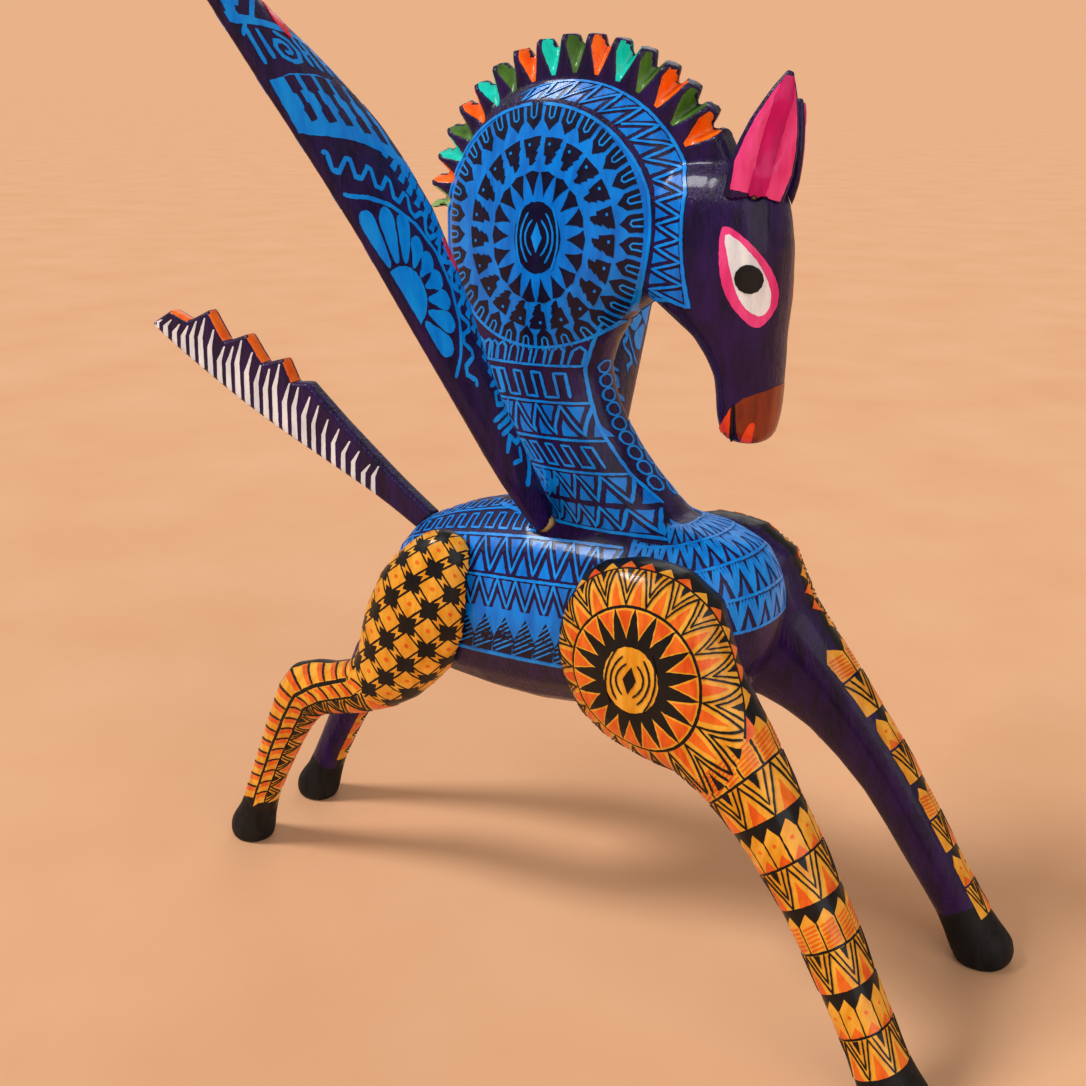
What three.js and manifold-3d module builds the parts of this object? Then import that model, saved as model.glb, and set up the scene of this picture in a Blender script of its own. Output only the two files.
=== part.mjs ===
// A carved and painted winged horse of the kind made in Oaxaca: one carved body with glued legs,
// and wings, a tail and ears that plug in on pegs.
// Millimetres. +X is where the animal looks, +Y is its left, +Z is up, and the soles stand on Z = 0.
import * as THREE from 'three';
import { mergeVertices } from 'three/addons/utils/BufferGeometryUtils.js';
import Module from 'manifold-3d';

const wasm = await Module();
wasm.setup();

// ---- driving dimensions -------------------------------------------------------------------------

const GAP = 0.35; // left between two pieces that touch
const AROUND = 20; // corners of a lofted section
const PEG_SIDES = 16;

// The glued dowels of the legs.
const DOWEL_RADIUS = 3;
const DOWEL_LENGTH = 18;

// The mane is a ring of teeth around the neck, counted from low on the nape to the brow.
const MANE = { x: 0, z: 228.5, outer: 53.2, half: 5.5, bevel: 1.5, teeth: 17, nape: 174, brow: 24 };
const GOUGE = { inner: 41, crossing: 48.5, width: 5.2, depth: 9 };

// Each wing leans out and back from its root. Its face looks forward and its chord runs up and in.
const WINGS = {
  right: { root: [-5, -17, 146], lean: [-0.22, -0.65, 1], chord: [-0.24, 0.84, 0.49] },
  left: { root: [-5, 17, 146], lean: [-0.21, 0.8, 0.56], chord: [-0.36, -0.6, 0.72] },
};
const WING_LENGTH = 200;
const WING_PEG = { radius: 3, length: 26, inside: 13 };

const TAIL_THICKNESS = 6;
const TAIL_BEVEL = 1;
const TAIL_TEETH = [ // [tip, notch after it], from the root outwards
  [[-107, 173.2], [-113.5, 172.5]],
  [[-117.5, 180.5], [-126.5, 178]],
  [[-133.5, 187.5], [-144, 184]],
  [[-151, 194.5], [-161, 190]],
];
const TAIL_PEG = { radius: 2, length: 24, inside: 12 };

const EARS = {
  right: { root: [55.5, -8, 238], tip: [64, -4.7, 274], face: [0.61, -0.79, 0.1] },
  left: { root: [55.5, 8, 238], tip: [63.5, 4.7, 267], face: [0.61, 0.79, 0.1] },
};
const EAR_PEG = { radius: 1.2, length: 10, inside: 5 };
const EAR_PEG_AT = 3.5; // how far up the ear its peg leaves the head

// ---- colours ------------------------------------------------------------------------------------

const painted = (color) => new THREE.MeshStandardMaterial({ color, roughness: 0.35, metalness: 0 });
const PURPLE = 0x2a1147;
const OCHRE = 0xe09a1c;
const BLUE = 0x1a86e8;
const STRIPED = 0x3a2a55;
const PINK = 0xe8418c;
const BARE_WOOD = 0xc9a26b;

// ---- solids and meshes --------------------------------------------------------------------------

const v3 = (x, y, z) => new THREE.Vector3(x, y, z);
const X = v3(1, 0, 0);
const Y = v3(0, 1, 0);
const Z = v3(0, 0, 1);

function solid(geometry) {
  geometry.deleteAttribute('normal');
  geometry.deleteAttribute('uv');
  const merged = mergeVertices(geometry, 1e-4);
  const vertProperties = new Float32Array(merged.attributes.position.array);
  const triVerts = new Uint32Array(merged.index.array);
  return new wasm.Manifold(new wasm.Mesh({ numProp: 3, vertProperties, triVerts }));
}

function meshOf(name, shape, color) {
  const { vertProperties, triVerts } = shape.getMesh();
  const geometry = new THREE.BufferGeometry();
  geometry.setAttribute('position', new THREE.BufferAttribute(vertProperties, 3));
  geometry.setIndex(new THREE.BufferAttribute(triVerts, 1));
  geometry.computeVertexNormals();
  const mesh = new THREE.Mesh(geometry, painted(color));
  mesh.name = name;
  return mesh;
}

// The corner at an angle of a rounded-rectangle section of unit half size.
function corner(angle, power) {
  const round = (value) => Math.sign(value) * Math.abs(value) ** (2 / power);
  return [round(Math.cos(angle)), round(Math.sin(angle))];
}

// A station is [centre, half width along side, half height up, half height down].
// Sections between stations follow smooth curves, and both ends are closed.
function loft(stations, { side = Y, up = null, steps = 2, power = 2, grow = 0, around = AROUND }) {
  const curve = (points) => new THREE.CatmullRomCurve3(points, false, 'centripetal');
  const centres = curve(stations.map(([centre]) => v3(...centre)));
  const sizes = curve(stations.map(([, a, b, c = b]) => v3(a + grow, b + grow, c + grow)));
  const spans = (stations.length - 1) * steps;
  const points = [];
  for (let i = 0; i <= spans; i += 1) {
    const centre = centres.getPoint(i / spans);
    const size = sizes.getPoint(i / spans);
    const rise = up ?? centres.getTangent(i / spans).cross(side).normalize();
    for (let k = 0; k < around; k += 1) {
      const [across, over] = corner((2 * Math.PI * k) / around, power);
      const height = over * (over > 0 ? size.y : size.z);
      points.push(centre.clone().addScaledVector(side, across * size.x).addScaledVector(rise, height));
    }
  }
  points.push(centres.getPoint(0), centres.getPoint(1));
  return skin(points, spans, around);
}

// Closes rings of points, with the two end centres last, whichever way round they run.
function skin(points, spans, around) {
  const faces = [];
  const [first, last] = [points.length - 2, points.length - 1];
  for (let k = 0; k < around; k += 1) {
    const next = (k + 1) % around;
    for (let i = 0; i < spans; i += 1) {
      const [a, b] = [i * around + k, i * around + next];
      faces.push(a, b, a + around, b, b + around, a + around);
    }
    faces.push(first, next, k, last, spans * around + k, spans * around + next);
  }
  const closed = (order) => {
    const geometry = new THREE.BufferGeometry().setFromPoints(points);
    return solid(geometry.setIndex(order));
  };
  const shape = closed(faces);
  return shape.volume() > 0 ? shape : closed(faces.reverse());
}

// A round peg whose axis passes through a point, starting some way before it.
function peg(point, direction, radius, before, length) {
  const geometry = new THREE.CylinderGeometry(radius, radius, length, PEG_SIDES);
  geometry.applyQuaternion(new THREE.Quaternion().setFromUnitVectors(Y, direction));
  const middle = point.clone().addScaledVector(direction, length / 2 - before);
  return solid(geometry.translate(middle.x, middle.y, middle.z));
}

// ---- body: torso, neck, mane and head in one carving --------------------------------------------

function torso(grow = 0) {
  const stations = [
    [[-67, 0, 113], 3, 5, 5],
    [[-65, 0, 112.5], 12, 13, 14],
    [[-56, 0, 111], 20.5, 23, 25],
    [[-40, 0, 111], 25, 30, 29],
    [[-8, 0, 114], 26.5, 34.5, 34],
    [[24, 0, 116], 27.5, 33, 32],
    [[45, 0, 117], 27, 30, 29],
    [[58, 0, 118.5], 21, 24, 23],
    [[65, 0, 120], 11, 13, 12],
    [[66.5, 0, 120], 3, 4, 4],
  ];
  return loft(stations, { up: Z, power: 2.3, grow });
}

function neck(grow = 0) {
  const stations = [
    [[22, 0, 128], 18, 20, 28],
    [[15, 0, 144], 16.5, 23, 25],
    [[3, 0, 158], 14.5, 22, 23],
    [[-9, 0, 173], 14, 21, 24],
    [[-14, 0, 190], 14.5, 24, 23],
    [[-9, 0, 206], 15.5, 33, 26],
    [[-5, 0, 222], 16, 42, 42],
    [[-4, 0, 238], 15, 42.5, 43],
    [[-4, 0, 254], 12.5, 35, 36],
    [[-4, 0, 264], 9.5, 25, 26],
    [[-4, 0, 270], 5, 13, 13],
  ];
  return loft(stations, { up: v3(-1, 0, 0), power: 2.2, grow });
}

function head(grow = 0) {
  const stations = [
    [[46, 0, 251], 4, 8, 16],
    [[47, 0, 247.5], 9, 12, 24],
    [[47, 0, 240], 13, 16, 30],
    [[46, 0, 228], 14.5, 19, 32],
    [[47, 0, 215], 14.5, 18, 26],
    [[52, 0, 203], 13, 12, 14],
    [[54.5, 0, 192], 11, 9.5, 9.5],
    [[55, 0, 182], 9.8, 8.6, 9.2],
    [[55, 0, 175.5], 8, 7.2, 7.8],
    [[55, 0, 173], 4.5, 4.2, 4.6],
  ];
  return loft(stations, { up: X, power: 2.3, grow });
}

const maneAngle = (tooth) =>
  THREE.MathUtils.degToRad(MANE.nape + ((MANE.brow - MANE.nape) * tooth) / MANE.teeth);

// The gouge cut on the right of the mane between two teeth: a groove that deepens outwards.
function gouge(tooth) {
  const angle = maneAngle(tooth);
  const out = v3(Math.cos(angle), 0, Math.sin(angle));
  const centre = v3(MANE.x, 0, MANE.z);
  const start = centre.clone().addScaledVector(out, GOUGE.inner).addScaledVector(Y, -MANE.half);
  const axis = centre.clone().addScaledVector(out, GOUGE.crossing).sub(start).normalize();
  const across = v3(-out.z, 0, out.x);
  const open = axis.clone().cross(across).normalize();
  if (open.y > 0) {
    open.negate();
    across.negate();
  }
  const vee = new THREE.Shape();
  vee.moveTo(0, 0).lineTo(GOUGE.width, GOUGE.depth).lineTo(-GOUGE.width, GOUGE.depth).closePath();
  const groove = new THREE.ExtrudeGeometry(vee, { depth: 2 * GOUGE.depth, bevelEnabled: false });
  groove.applyMatrix4(new THREE.Matrix4().makeBasis(across, open, axis).setPosition(start));
  return solid(groove);
}

function mane() {
  const ring = new THREE.Shape();
  const [from, to] = [maneAngle(0), maneAngle(MANE.teeth)];
  ring.moveTo(0, 0);
  ring.absarc(0, 0, MANE.outer, from, to, true);
  ring.closePath();
  const geometry = new THREE.ExtrudeGeometry(ring, {
    depth: 2 * MANE.half - 2 * MANE.bevel,
    bevelThickness: MANE.bevel,
    bevelSize: MANE.bevel,
    bevelOffset: -MANE.bevel,
    bevelSegments: 1,
    curveSegments: 24,
  });
  geometry.rotateX(Math.PI / 2).translate(MANE.x, MANE.half - MANE.bevel, MANE.z);
  return solid(geometry);
}

function carvedBody() {
  let shape = torso().add(neck()).add(mane()).add(head());
  for (let tooth = 0.5; tooth < MANE.teeth - 0.6; tooth += 1) {
    const groove = gouge(tooth);
    shape = shape.subtract(groove).subtract(groove.mirror([0, 1, 0]));
  }
  return shape;
}

// ---- legs ---------------------------------------------------------------------------------------

function frontLeg() {
  const stations = [
    [[20.5, -27, 137], 2, 4, 4],
    [[23.5, -27, 133], 8, 15, 15],
    [[30, -27, 124.5], 12, 26, 26],
    [[39.5, -27.5, 112.5], 13.5, 30, 30],
    [[50.5, -29, 103.5], 12.5, 24, 25],
    [[62, -31, 95.5], 11, 17, 17.5],
    [[76.5, -34, 81.5], 9.8, 12.2, 12.2],
    [[93.5, -37, 60], 9, 9.2, 9.2],
    [[107.5, -39.5, 37], 8.4, 8.2, 8.2],
    [[118, -42, 19], 7.8, 7.7, 7.7],
    [[123.5, -43, 9], 8.6, 8.8, 8.8],
    [[127.5, -43.4, 3], 9.2, 9.5, 9.5],
    [[129.5, -43.4, 0.2], 8, 8.2, 8.2],
    [[130.5, -43.4, -1.5], 6, 6.2, 6.2],
  ];
  return loft(stations, { power: 2.3 });
}

function rearLeg() {
  const stations = [
    [[-31.5, -24, 137], 2, 3, 3],
    [[-33, -24, 133.5], 6, 8, 8],
    [[-37, -24, 126], 9, 13, 13],
    [[-43, -24, 113], 11.5, 18, 18],
    [[-50, -24, 100], 11.5, 17.5, 17.5],
    [[-58, -24, 87], 10.5, 13.5, 13.5],
    [[-69, -23.5, 78], 9.5, 9.5, 9.5],
    [[-82, -23, 73.5], 9, 9, 9],
    [[-95, -22, 68], 8.6, 8.5, 12],
    [[-104, -21.5, 58], 8, 7.5, 8.5],
    [[-111, -21, 46], 7.2, 6.8, 6.8],
    [[-122, -20, 24], 6.2, 6, 6],
    [[-127, -19.5, 12], 6.8, 6.8, 6.8],
    [[-130.5, -19, 4.5], 7.8, 8.4, 8.4],
    [[-132.5, -19, 0.2], 6.8, 7.2, 7.2],
    [[-133.3, -19, -1.5], 5, 5.5, 5.5],
  ];
  return loft(stations, { power: 2.2 });
}

const DOWELS = {
  front: [[33, -27, 120], [48, -27, 102]],
  rear: [[-40, -24, 118], [-50, -24, 102]],
};

// ---- wings, tail and ears -----------------------------------------------------------------------

// Each row is [share of the length, half thickness, bow of the middle inward, half chord].
function wing({ root, lean, chord }) {
  const rows = [
    [-0.02, 3.6, 0, 4],
    [0.0, 4.4, 0, 5.4],
    [0.1, 4.6, 1, 7.8],
    [0.2, 4.4, 4, 10],
    [0.31, 4.2, 10, 14.8],
    [0.45, 4, 16, 19],
    [0.6, 3.8, 16, 17.3],
    [0.75, 3.4, 10.5, 12],
    [0.88, 2.8, 4.7, 6],
    [0.97, 2, 1.6, 2.6],
    [1.0, 0.8, 0.6, 0.9],
  ];
  const along = v3(...lean).normalize();
  const inward = v3(...chord);
  inward.addScaledVector(along, -inward.dot(along)).normalize();
  const face = inward.clone().cross(along).normalize();
  const stations = rows.map(([share, half, bow, halfChord]) => {
    const centre = v3(...root).addScaledVector(along, share * WING_LENGTH).addScaledVector(inward, bow);
    return [centre.toArray(), half, halfChord];
  });
  return loft(stations, { side: face, up: inward, power: 2.5, around: 16 });
}

// The tail is a flat blade, sawn to four teeth along its top.
const tailRoot = v3(-62, 0, 132.5);
const tailLean = v3(-0.83, 0, 0.555).normalize();

function tail() {
  const outline = new THREE.Shape();
  outline.moveTo(-54, 133);
  outline.splineThru([
    new THREE.Vector2(-68, 142.5),
    new THREE.Vector2(-80, 151.5),
    new THREE.Vector2(-93, 161.5),
  ]);
  for (const [tip, notch] of TAIL_TEETH) {
    outline.lineTo(...tip).lineTo(...notch);
  }
  outline.lineTo(-169.5, 193).lineTo(-179.5, 187.5);
  outline.splineThru([
    new THREE.Vector2(-168, 180),
    new THREE.Vector2(-142, 165.5),
    new THREE.Vector2(-121.5, 155.5),
    new THREE.Vector2(-102, 147),
    new THREE.Vector2(-77, 136),
    new THREE.Vector2(-57, 125),
  ]);
  outline.closePath();
  const geometry = new THREE.ExtrudeGeometry(outline, {
    depth: TAIL_THICKNESS - 2 * TAIL_BEVEL,
    bevelThickness: TAIL_BEVEL,
    bevelSize: TAIL_BEVEL,
    bevelOffset: -TAIL_BEVEL,
    bevelSegments: 1,
    curveSegments: 4,
  });
  geometry.rotateX(Math.PI / 2).translate(0, TAIL_THICKNESS / 2 - TAIL_BEVEL, 0);
  return solid(geometry);
}

// Each row is [share of the length, half thickness, half width].
function ear({ root, tip, face }) {
  const rows = [
    [-0.03, 1.8, 6.5],
    [0.08, 2.6, 8.2],
    [0.32, 2.6, 9],
    [0.62, 2.3, 7],
    [0.86, 1.7, 3.6],
    [1, 0.7, 0.9],
  ];
  const at = (share) => v3(...root).lerp(v3(...tip), share);
  const front = v3(...face).normalize();
  const along = v3(...tip).sub(v3(...root)).normalize();
  const across = front.clone().cross(along).normalize();
  const stations = rows.map(([share, half, width]) => [at(share).toArray(), half, width]);
  const leaf = loft(stations, { side: front, up: across, around: 14 });
  const hollow = new THREE.SphereGeometry(1, 12, 8).scale(4.8, 2.2, 11);
  const middle = at(0.54).addScaledVector(front, 3.1);
  hollow.applyMatrix4(new THREE.Matrix4().makeBasis(across, front, along).setPosition(middle));
  return leaf.subtract(solid(hollow));
}

// ---- the figure ---------------------------------------------------------------------------------

const figure = new THREE.Group();
const roundTorso = torso(GAP).add(neck(GAP));
const roundHead = head(GAP);
const aboveGround = solid(new THREE.BoxGeometry(600, 600, 400).translate(0, 0, 200));
let body = carvedBody();

function add(name, shape, color) {
  figure.add(meshOf(name, shape, color));
}

// Legs are glued to the torso on two dowels each, alike on both sides.
function addLegs(end, blank) {
  let leg = blank.subtract(roundTorso).intersect(aboveGround);
  const sides = { right: (shape) => shape, left: (shape) => shape.mirror([0, 1, 0]) };
  DOWELS[end].forEach((place, index) => {
    const [point, half] = [v3(...place), DOWEL_LENGTH / 2];
    const dowel = peg(point, Y, DOWEL_RADIUS, half, DOWEL_LENGTH);
    const socket = peg(point, Y, DOWEL_RADIUS + GAP, half + GAP, DOWEL_LENGTH + 2 * GAP);
    leg = leg.subtract(socket);
    for (const [side, placed] of Object.entries(sides)) {
      body = body.subtract(placed(socket));
      add(`${end}_${side}_dowel_${index + 1}`, placed(dowel), BARE_WOOD);
    }
  });
  for (const [side, placed] of Object.entries(sides)) {
    add(`${end}_${side}_leg`, placed(leg), OCHRE);
  }
}

// A wing, ear or tail plugs into the body on a peg that is glued into its root.
// The socket in the body is open far enough outwards to let the peg out.
function addPlugged(name, blank, neighbour, root, lean, { radius, length, inside }, color) {
  const stick = peg(root, lean, radius, inside, length);
  const socket = peg(root, lean, radius + GAP, inside + GAP, length + 2 * GAP);
  body = body.subtract(peg(root, lean, radius + GAP, inside + GAP, length + inside + 2 * GAP));
  add(name, blank.subtract(neighbour).subtract(socket), color);
  add(`${name}_peg`, stick, BARE_WOOD);
}

addLegs('front', frontLeg());
addLegs('rear', rearLeg());
for (const [side, plan] of Object.entries(WINGS)) {
  const lean = v3(...plan.lean).normalize();
  addPlugged(`${side}_wing`, wing(plan), roundTorso, v3(...plan.root), lean, WING_PEG, BLUE);
}
for (const [side, plan] of Object.entries(EARS)) {
  const lean = v3(...plan.tip).sub(v3(...plan.root)).normalize();
  const root = v3(...plan.root).addScaledVector(lean, EAR_PEG_AT);
  addPlugged(`${side}_ear`, ear(plan), roundHead, root, lean, EAR_PEG, PINK);
}
addPlugged('tail', tail(), roundTorso, tailRoot, tailLean, TAIL_PEG, STRIPED);
add('body', body, PURPLE);

// The origin is on the ground, under the middle of the whole figure.
const box = new THREE.Box3().setFromObject(figure);
const middle = box.getCenter(v3(0, 0, 0));
figure.position.set(-middle.x, -middle.y, 0);

export default figure;
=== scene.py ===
"""A painted alebrije: a carved, winged horse with brush patterns in thin raised paint.

Patterns are drawn in millimetres on charts. A chart turns two numbers into a ray that lands on one
carved piece, so a shape drawn on a chart becomes a thin film of paint that follows the wood.
"""

import math
import random

import bpy
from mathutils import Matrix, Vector
from mathutils.bvhtree import BVHTree
from mathutils.geometry import delaunay_2d_cdt


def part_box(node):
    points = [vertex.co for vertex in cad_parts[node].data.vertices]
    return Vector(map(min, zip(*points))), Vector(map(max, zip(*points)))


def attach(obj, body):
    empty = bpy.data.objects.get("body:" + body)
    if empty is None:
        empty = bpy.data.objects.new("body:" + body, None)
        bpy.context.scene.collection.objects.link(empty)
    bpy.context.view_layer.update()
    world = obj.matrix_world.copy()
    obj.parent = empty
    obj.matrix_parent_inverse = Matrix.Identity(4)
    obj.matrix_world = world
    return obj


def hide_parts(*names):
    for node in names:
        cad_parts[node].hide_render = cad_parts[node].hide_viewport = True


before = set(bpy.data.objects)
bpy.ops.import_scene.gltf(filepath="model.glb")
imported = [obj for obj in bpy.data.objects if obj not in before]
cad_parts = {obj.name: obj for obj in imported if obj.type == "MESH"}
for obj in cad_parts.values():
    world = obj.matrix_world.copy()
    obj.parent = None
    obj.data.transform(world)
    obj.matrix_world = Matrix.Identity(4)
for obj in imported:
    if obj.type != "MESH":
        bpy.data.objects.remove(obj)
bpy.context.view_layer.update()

MM = 0.001
RIGHT, LEFT = -1, 1  # the sign of Y on each side of the animal
SIDES = {RIGHT: "right", LEFT: "left"}
LAYER = 0.12  # how far each coat of paint stands over the one below it
FILM = 0.35  # thickness of a film, mostly sunk into the wood
WOBBLE = 0.1  # unsteadiness of the hand
STEP = 1.2  # longest straight stretch of an outline
GRID = 1.5  # spacing of the points inside a patch
SPAN = 6  # longest face of a film; a longer one has slipped off an edge
FACING = 0.15  # least cosine between a face of a film and the wood under it
FAR = 60  # how far out of the wood most rays start

CAMERA_SPOT = (208.7, -367.7, 271)

# The figure is drawn in mm, with X = 0 near its withers and Y = 0 in its middle plane.
BODY_FRONT = 66.5
body_low, body_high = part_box("body")
SHIFT = Vector((body_high.x - BODY_FRONT * MM, (body_low.y + body_high.y) / 2, 0))
hand = random.Random(5)


def place(point):
    return Vector(point) * MM + SHIFT


def link(name, data):
    obj = bpy.data.objects.new(name, data)
    bpy.context.scene.collection.objects.link(obj)
    return obj


def evaluated(obj):
    depsgraph = bpy.context.evaluated_depsgraph_get()
    depsgraph.update()
    return bpy.data.meshes.new_from_object(obj.evaluated_get(depsgraph))


def along(table, x):
    """Linear interpolation in a table of (x, value) rows."""
    if x <= table[0][0]:
        return table[0][1]
    for (x0, y0), (x1, y1) in zip(table, table[1:]):
        if x <= x1:
            return y0 + (y1 - y0) * (x - x0) / (x1 - x0)
    return table[-1][1]


# ---- materials ----


def rgb(code):
    def linear(v):
        return v / 12.92 if v <= 0.04045 else ((v + 0.055) / 1.055) ** 2.4

    return tuple(linear(int(code[i : i + 2], 16) / 255) for i in (0, 2, 4)) + (1,)


def node_of(tree, kind, **values):
    node = tree.nodes.new(kind)
    for name, value in values.items():
        node.inputs[name.replace("_", " ")].default_value = value
    return node


def noise(tree, scale, stretch=(1, 1, 1), detail=3.0, roughness=0.55):
    spot = tree.nodes.new("ShaderNodeTexCoord")
    mapping = node_of(tree, "ShaderNodeMapping", Scale=stretch)
    tree.links.new(spot.outputs["Object"], mapping.inputs["Vector"])
    out = node_of(tree, "ShaderNodeTexNoise", Scale=scale, Detail=detail, Roughness=roughness)
    tree.links.new(mapping.outputs["Vector"], out.inputs["Vector"])
    return out.outputs["Fac"]


def ramp(tree, value, stops):
    node = tree.nodes.new("ShaderNodeValToRGB")
    tree.links.new(value, node.inputs["Fac"])
    bands = node.color_ramp.elements
    while len(bands) < len(stops):
        bands.new(0.5)
    for band, (position, color) in zip(bands, stops):
        band.position = position
        band.color = color
    return node.outputs["Color"]


def paint(name, dark, light, rough=0.34, coat=0.2, relief=0.12, brush=(1, 1, 0.25), patch=260):
    """Brushed acrylic under varnish: two close tones in soft patches, with brush relief."""
    material = bpy.data.materials.new(name)
    material.use_nodes = True
    tree = material.node_tree
    shader = tree.nodes["Principled BSDF"]
    tone = noise(tree, patch, brush, detail=5.0)
    color = ramp(tree, tone, [(0.36, rgb(dark)), (0.62, rgb(light))])
    tree.links.new(color, shader.inputs["Base Color"])
    glossy, dull = ((value, value, value, 1) for value in (rough - 0.08, rough + 0.1))
    wear = ramp(tree, noise(tree, 420), [(0.3, glossy), (0.7, dull)])
    tree.links.new(wear, shader.inputs["Roughness"])
    shader.inputs["Specular IOR Level"].default_value = 0.2
    shader.inputs["Coat Weight"].default_value = coat
    shader.inputs["Coat Roughness"].default_value = 0.12
    strokes = noise(tree, 900, brush, detail=4.0, roughness=0.6)
    bump = node_of(tree, "ShaderNodeBump", Strength=relief, Distance=0.0006)
    tree.links.new(strokes, bump.inputs["Height"])
    tree.links.new(bump.outputs["Normal"], shader.inputs["Normal"])
    return material


PURPLE = paint("purple_base", "14032e", "280a4c", relief=0.9)
NIGHT = paint("night_blue", "07041c", "120a30")
BLACK = paint("black_paint", "060506", "121012", rough=0.42, coat=0.15)
HOOF = paint("hoof_black", "0a0a0b", "1a1a1b", rough=0.6, coat=0.0, relief=0.4)
BLUE = paint("blue_paint", "006ad0", "0088f0")
WING_BLUE = paint("wing_blue", "0082f0", "0a9cff", coat=0.15, relief=0.25)
LINE_BLUE = paint("line_blue", "007ce0", "0c98fa")
YELLOW = paint("ochre_yellow", "dc8c10", "f4b038", coat=0.3)
ORANGE = paint("orange_paint", "d84a08", "f0741c", coat=0.3)
MANE_ORANGE = paint("mane_orange", "f45a00", "ff7812")
TURQUOISE = paint("turquoise", "00bea6", "0ce0cc")
GREEN = paint("leaf_green", "375a1e", "54802e")
PALE_GREEN = paint("pale_green", "7ca854", "9cc276")
PINK = paint("pink_paint", "e02874", "f44a90", coat=0.3)
MAGENTA = paint("magenta_paint", "b40058", "d8006e", coat=0.1)
WHITE = paint("white_paint", "d8dae2", "f6f6f8", coat=0.3)
RED = paint("red_paint", "de1030", "f02a44", coat=0.3)
MUZZLE = paint("muzzle_brown", "6a2210", "8f3618", coat=0.3)
NOSTRIL = paint("nostril_red", "e43408", "f85020", coat=0.4)
WOOD = paint("bare_wood", "b48a52", "d2ab74", rough=0.6, coat=0.0, brush=(0.3, 1, 1))

# ---- carved pieces ----


class Carving:
    """The smooth visible surface of one CAD node, and what finds places on it.

    Softness says how much the wood is smoothed at a place, and shape moves it.
    """

    def __init__(self, node, body, slot, materials, voxel, rounds, softness=None, shape=None):
        self.body = body
        obj = link(node + "_carved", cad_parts[node].data.copy())
        obj.data.materials.clear()
        for material in materials:
            obj.data.materials.append(material)
        remesh = obj.modifiers.new("remesh", "REMESH")
        remesh.mode = "VOXEL"
        remesh.voxel_size = voxel * MM
        obj.data = evaluated(obj)
        obj.modifiers.clear()
        group = obj.vertex_groups.new(name="soft")
        for vertex in obj.data.vertices:
            spot = (vertex.co - SHIFT) / MM
            group.add([vertex.index], softness(spot) if softness else 1.0, "REPLACE")
        smooth = obj.modifiers.new("smooth", "SMOOTH")
        smooth.factor = 0.5
        smooth.iterations = rounds
        smooth.vertex_group = "soft"
        obj.data = evaluated(obj)
        obj.modifiers.clear()
        obj.vertex_groups.clear()
        if shape:
            for vertex in obj.data.vertices:
                vertex.co = place(shape((vertex.co - SHIFT) / MM))
        obj.data.shade_smooth()
        self.obj = obj
        self.refresh()
        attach(obj, body)
        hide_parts(node)

    def refresh(self):
        mesh = self.obj.data
        self.normals = [vertex.normal.copy() for vertex in mesh.vertices]
        self.faces = [tuple(polygon.vertices) for polygon in mesh.polygons]
        self.tree = BVHTree.FromPolygons([v.co.copy() for v in mesh.vertices], self.faces)

    def land(self, start, way):
        spot, normal, index, _ = self.tree.ray_cast(start, way)
        if spot is None:
            return None
        return spot, sum((self.normals[i] for i in self.faces[index]), Vector()).normalized()

    def tint(self, rule):
        """Sets each face's material number from the place of its middle."""
        for polygon in self.obj.data.polygons:
            polygon.material_index = rule((polygon.center - SHIFT) / MM)


# ---- charts ----


def side_chart(side):
    """(x, z) seen straight from one side."""
    return lambda x, z: (place((x, side * 90, z)), Vector((0, -side, 0)))


def face_chart(side, depth):
    """(x, z) at y = depth, on rays from where someone looks the figure in the face."""

    def chart(x, z):
        spot = Vector((x, side * depth, z))
        way = (spot - Vector((CAMERA_SPOT[0], -side * CAMERA_SPOT[1], CAMERA_SPOT[2]))).normalized()
        return place(spot) - way * FAR * MM, way

    return chart


def dome_chart(side, centre, depth, bend):
    """(x, z) at y = depth, on rays that lean in toward the centre so they reach round an edge."""

    def chart(x, z):
        way = Vector(((centre[0] - x) * bend, -side, (centre[1] - z) * bend)).normalized()
        return place((x, side * depth, z)) - way * FAR * MM, way

    return chart


def post_chart(side, radius, centre, reach=34):
    """(around, z) about an upright axis: around runs forward from the side, in mm at radius."""

    def chart(around, z):
        angle = around / radius
        out = Vector((math.sin(angle), side * math.cos(angle), 0))
        return place((centre(z), 0, z)) + out * reach * MM, -out

    return chart


def tube_chart(side, line, radius):
    """(s, around) on a limb: s runs down its centre line, around goes up or forward from its side."""
    points = [Vector((x, side * y, z)) for x, y, z in line]
    starts = [0.0]
    for a, b in zip(points, points[1:]):
        starts.append(starts[-1] + (b - a).length)

    def at(s):
        for i in range(len(points) - 1):
            if s <= starts[i + 1] or i == len(points) - 2:
                share = (s - starts[i]) / (starts[i + 1] - starts[i])
                return points[i].lerp(points[i + 1], share)

    def chart(s, around):
        way = (at(s + 5) - at(s - 5)).normalized()
        rise = Vector((-way.z, 0, way.x)).normalized()
        angle = around / radius
        out = Vector((0, side * math.cos(angle), 0)) + rise * math.sin(angle)
        return place(at(s)) + out * FAR * MM, -out

    return chart


def ball_chart(side, centre, radius):
    """(around, up) on a rounded mass, both in mm at radius."""

    def chart(around, up):
        turn, rise = around / radius, up / radius
        level = math.cos(rise)
        out = Vector((math.sin(turn) * level, side * math.cos(turn) * level, math.sin(rise)))
        return place(centre) + out * FAR * MM, -out

    return chart


def between(chart, inner, outer):
    """(share across, share along) of the strip between two curves."""

    def strip(u, v):
        (x0, z0), (x1, z1) = inner(v), outer(v)
        return chart(x0 + (x1 - x0) * u, z0 + (z1 - z0) * u)

    return strip


def oval(centre, wide, tall, count=24):
    turns = [math.tau * i / count for i in range(count)]
    return [(centre[0] + wide * math.cos(t), centre[1] + tall * math.sin(t)) for t in turns]


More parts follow.
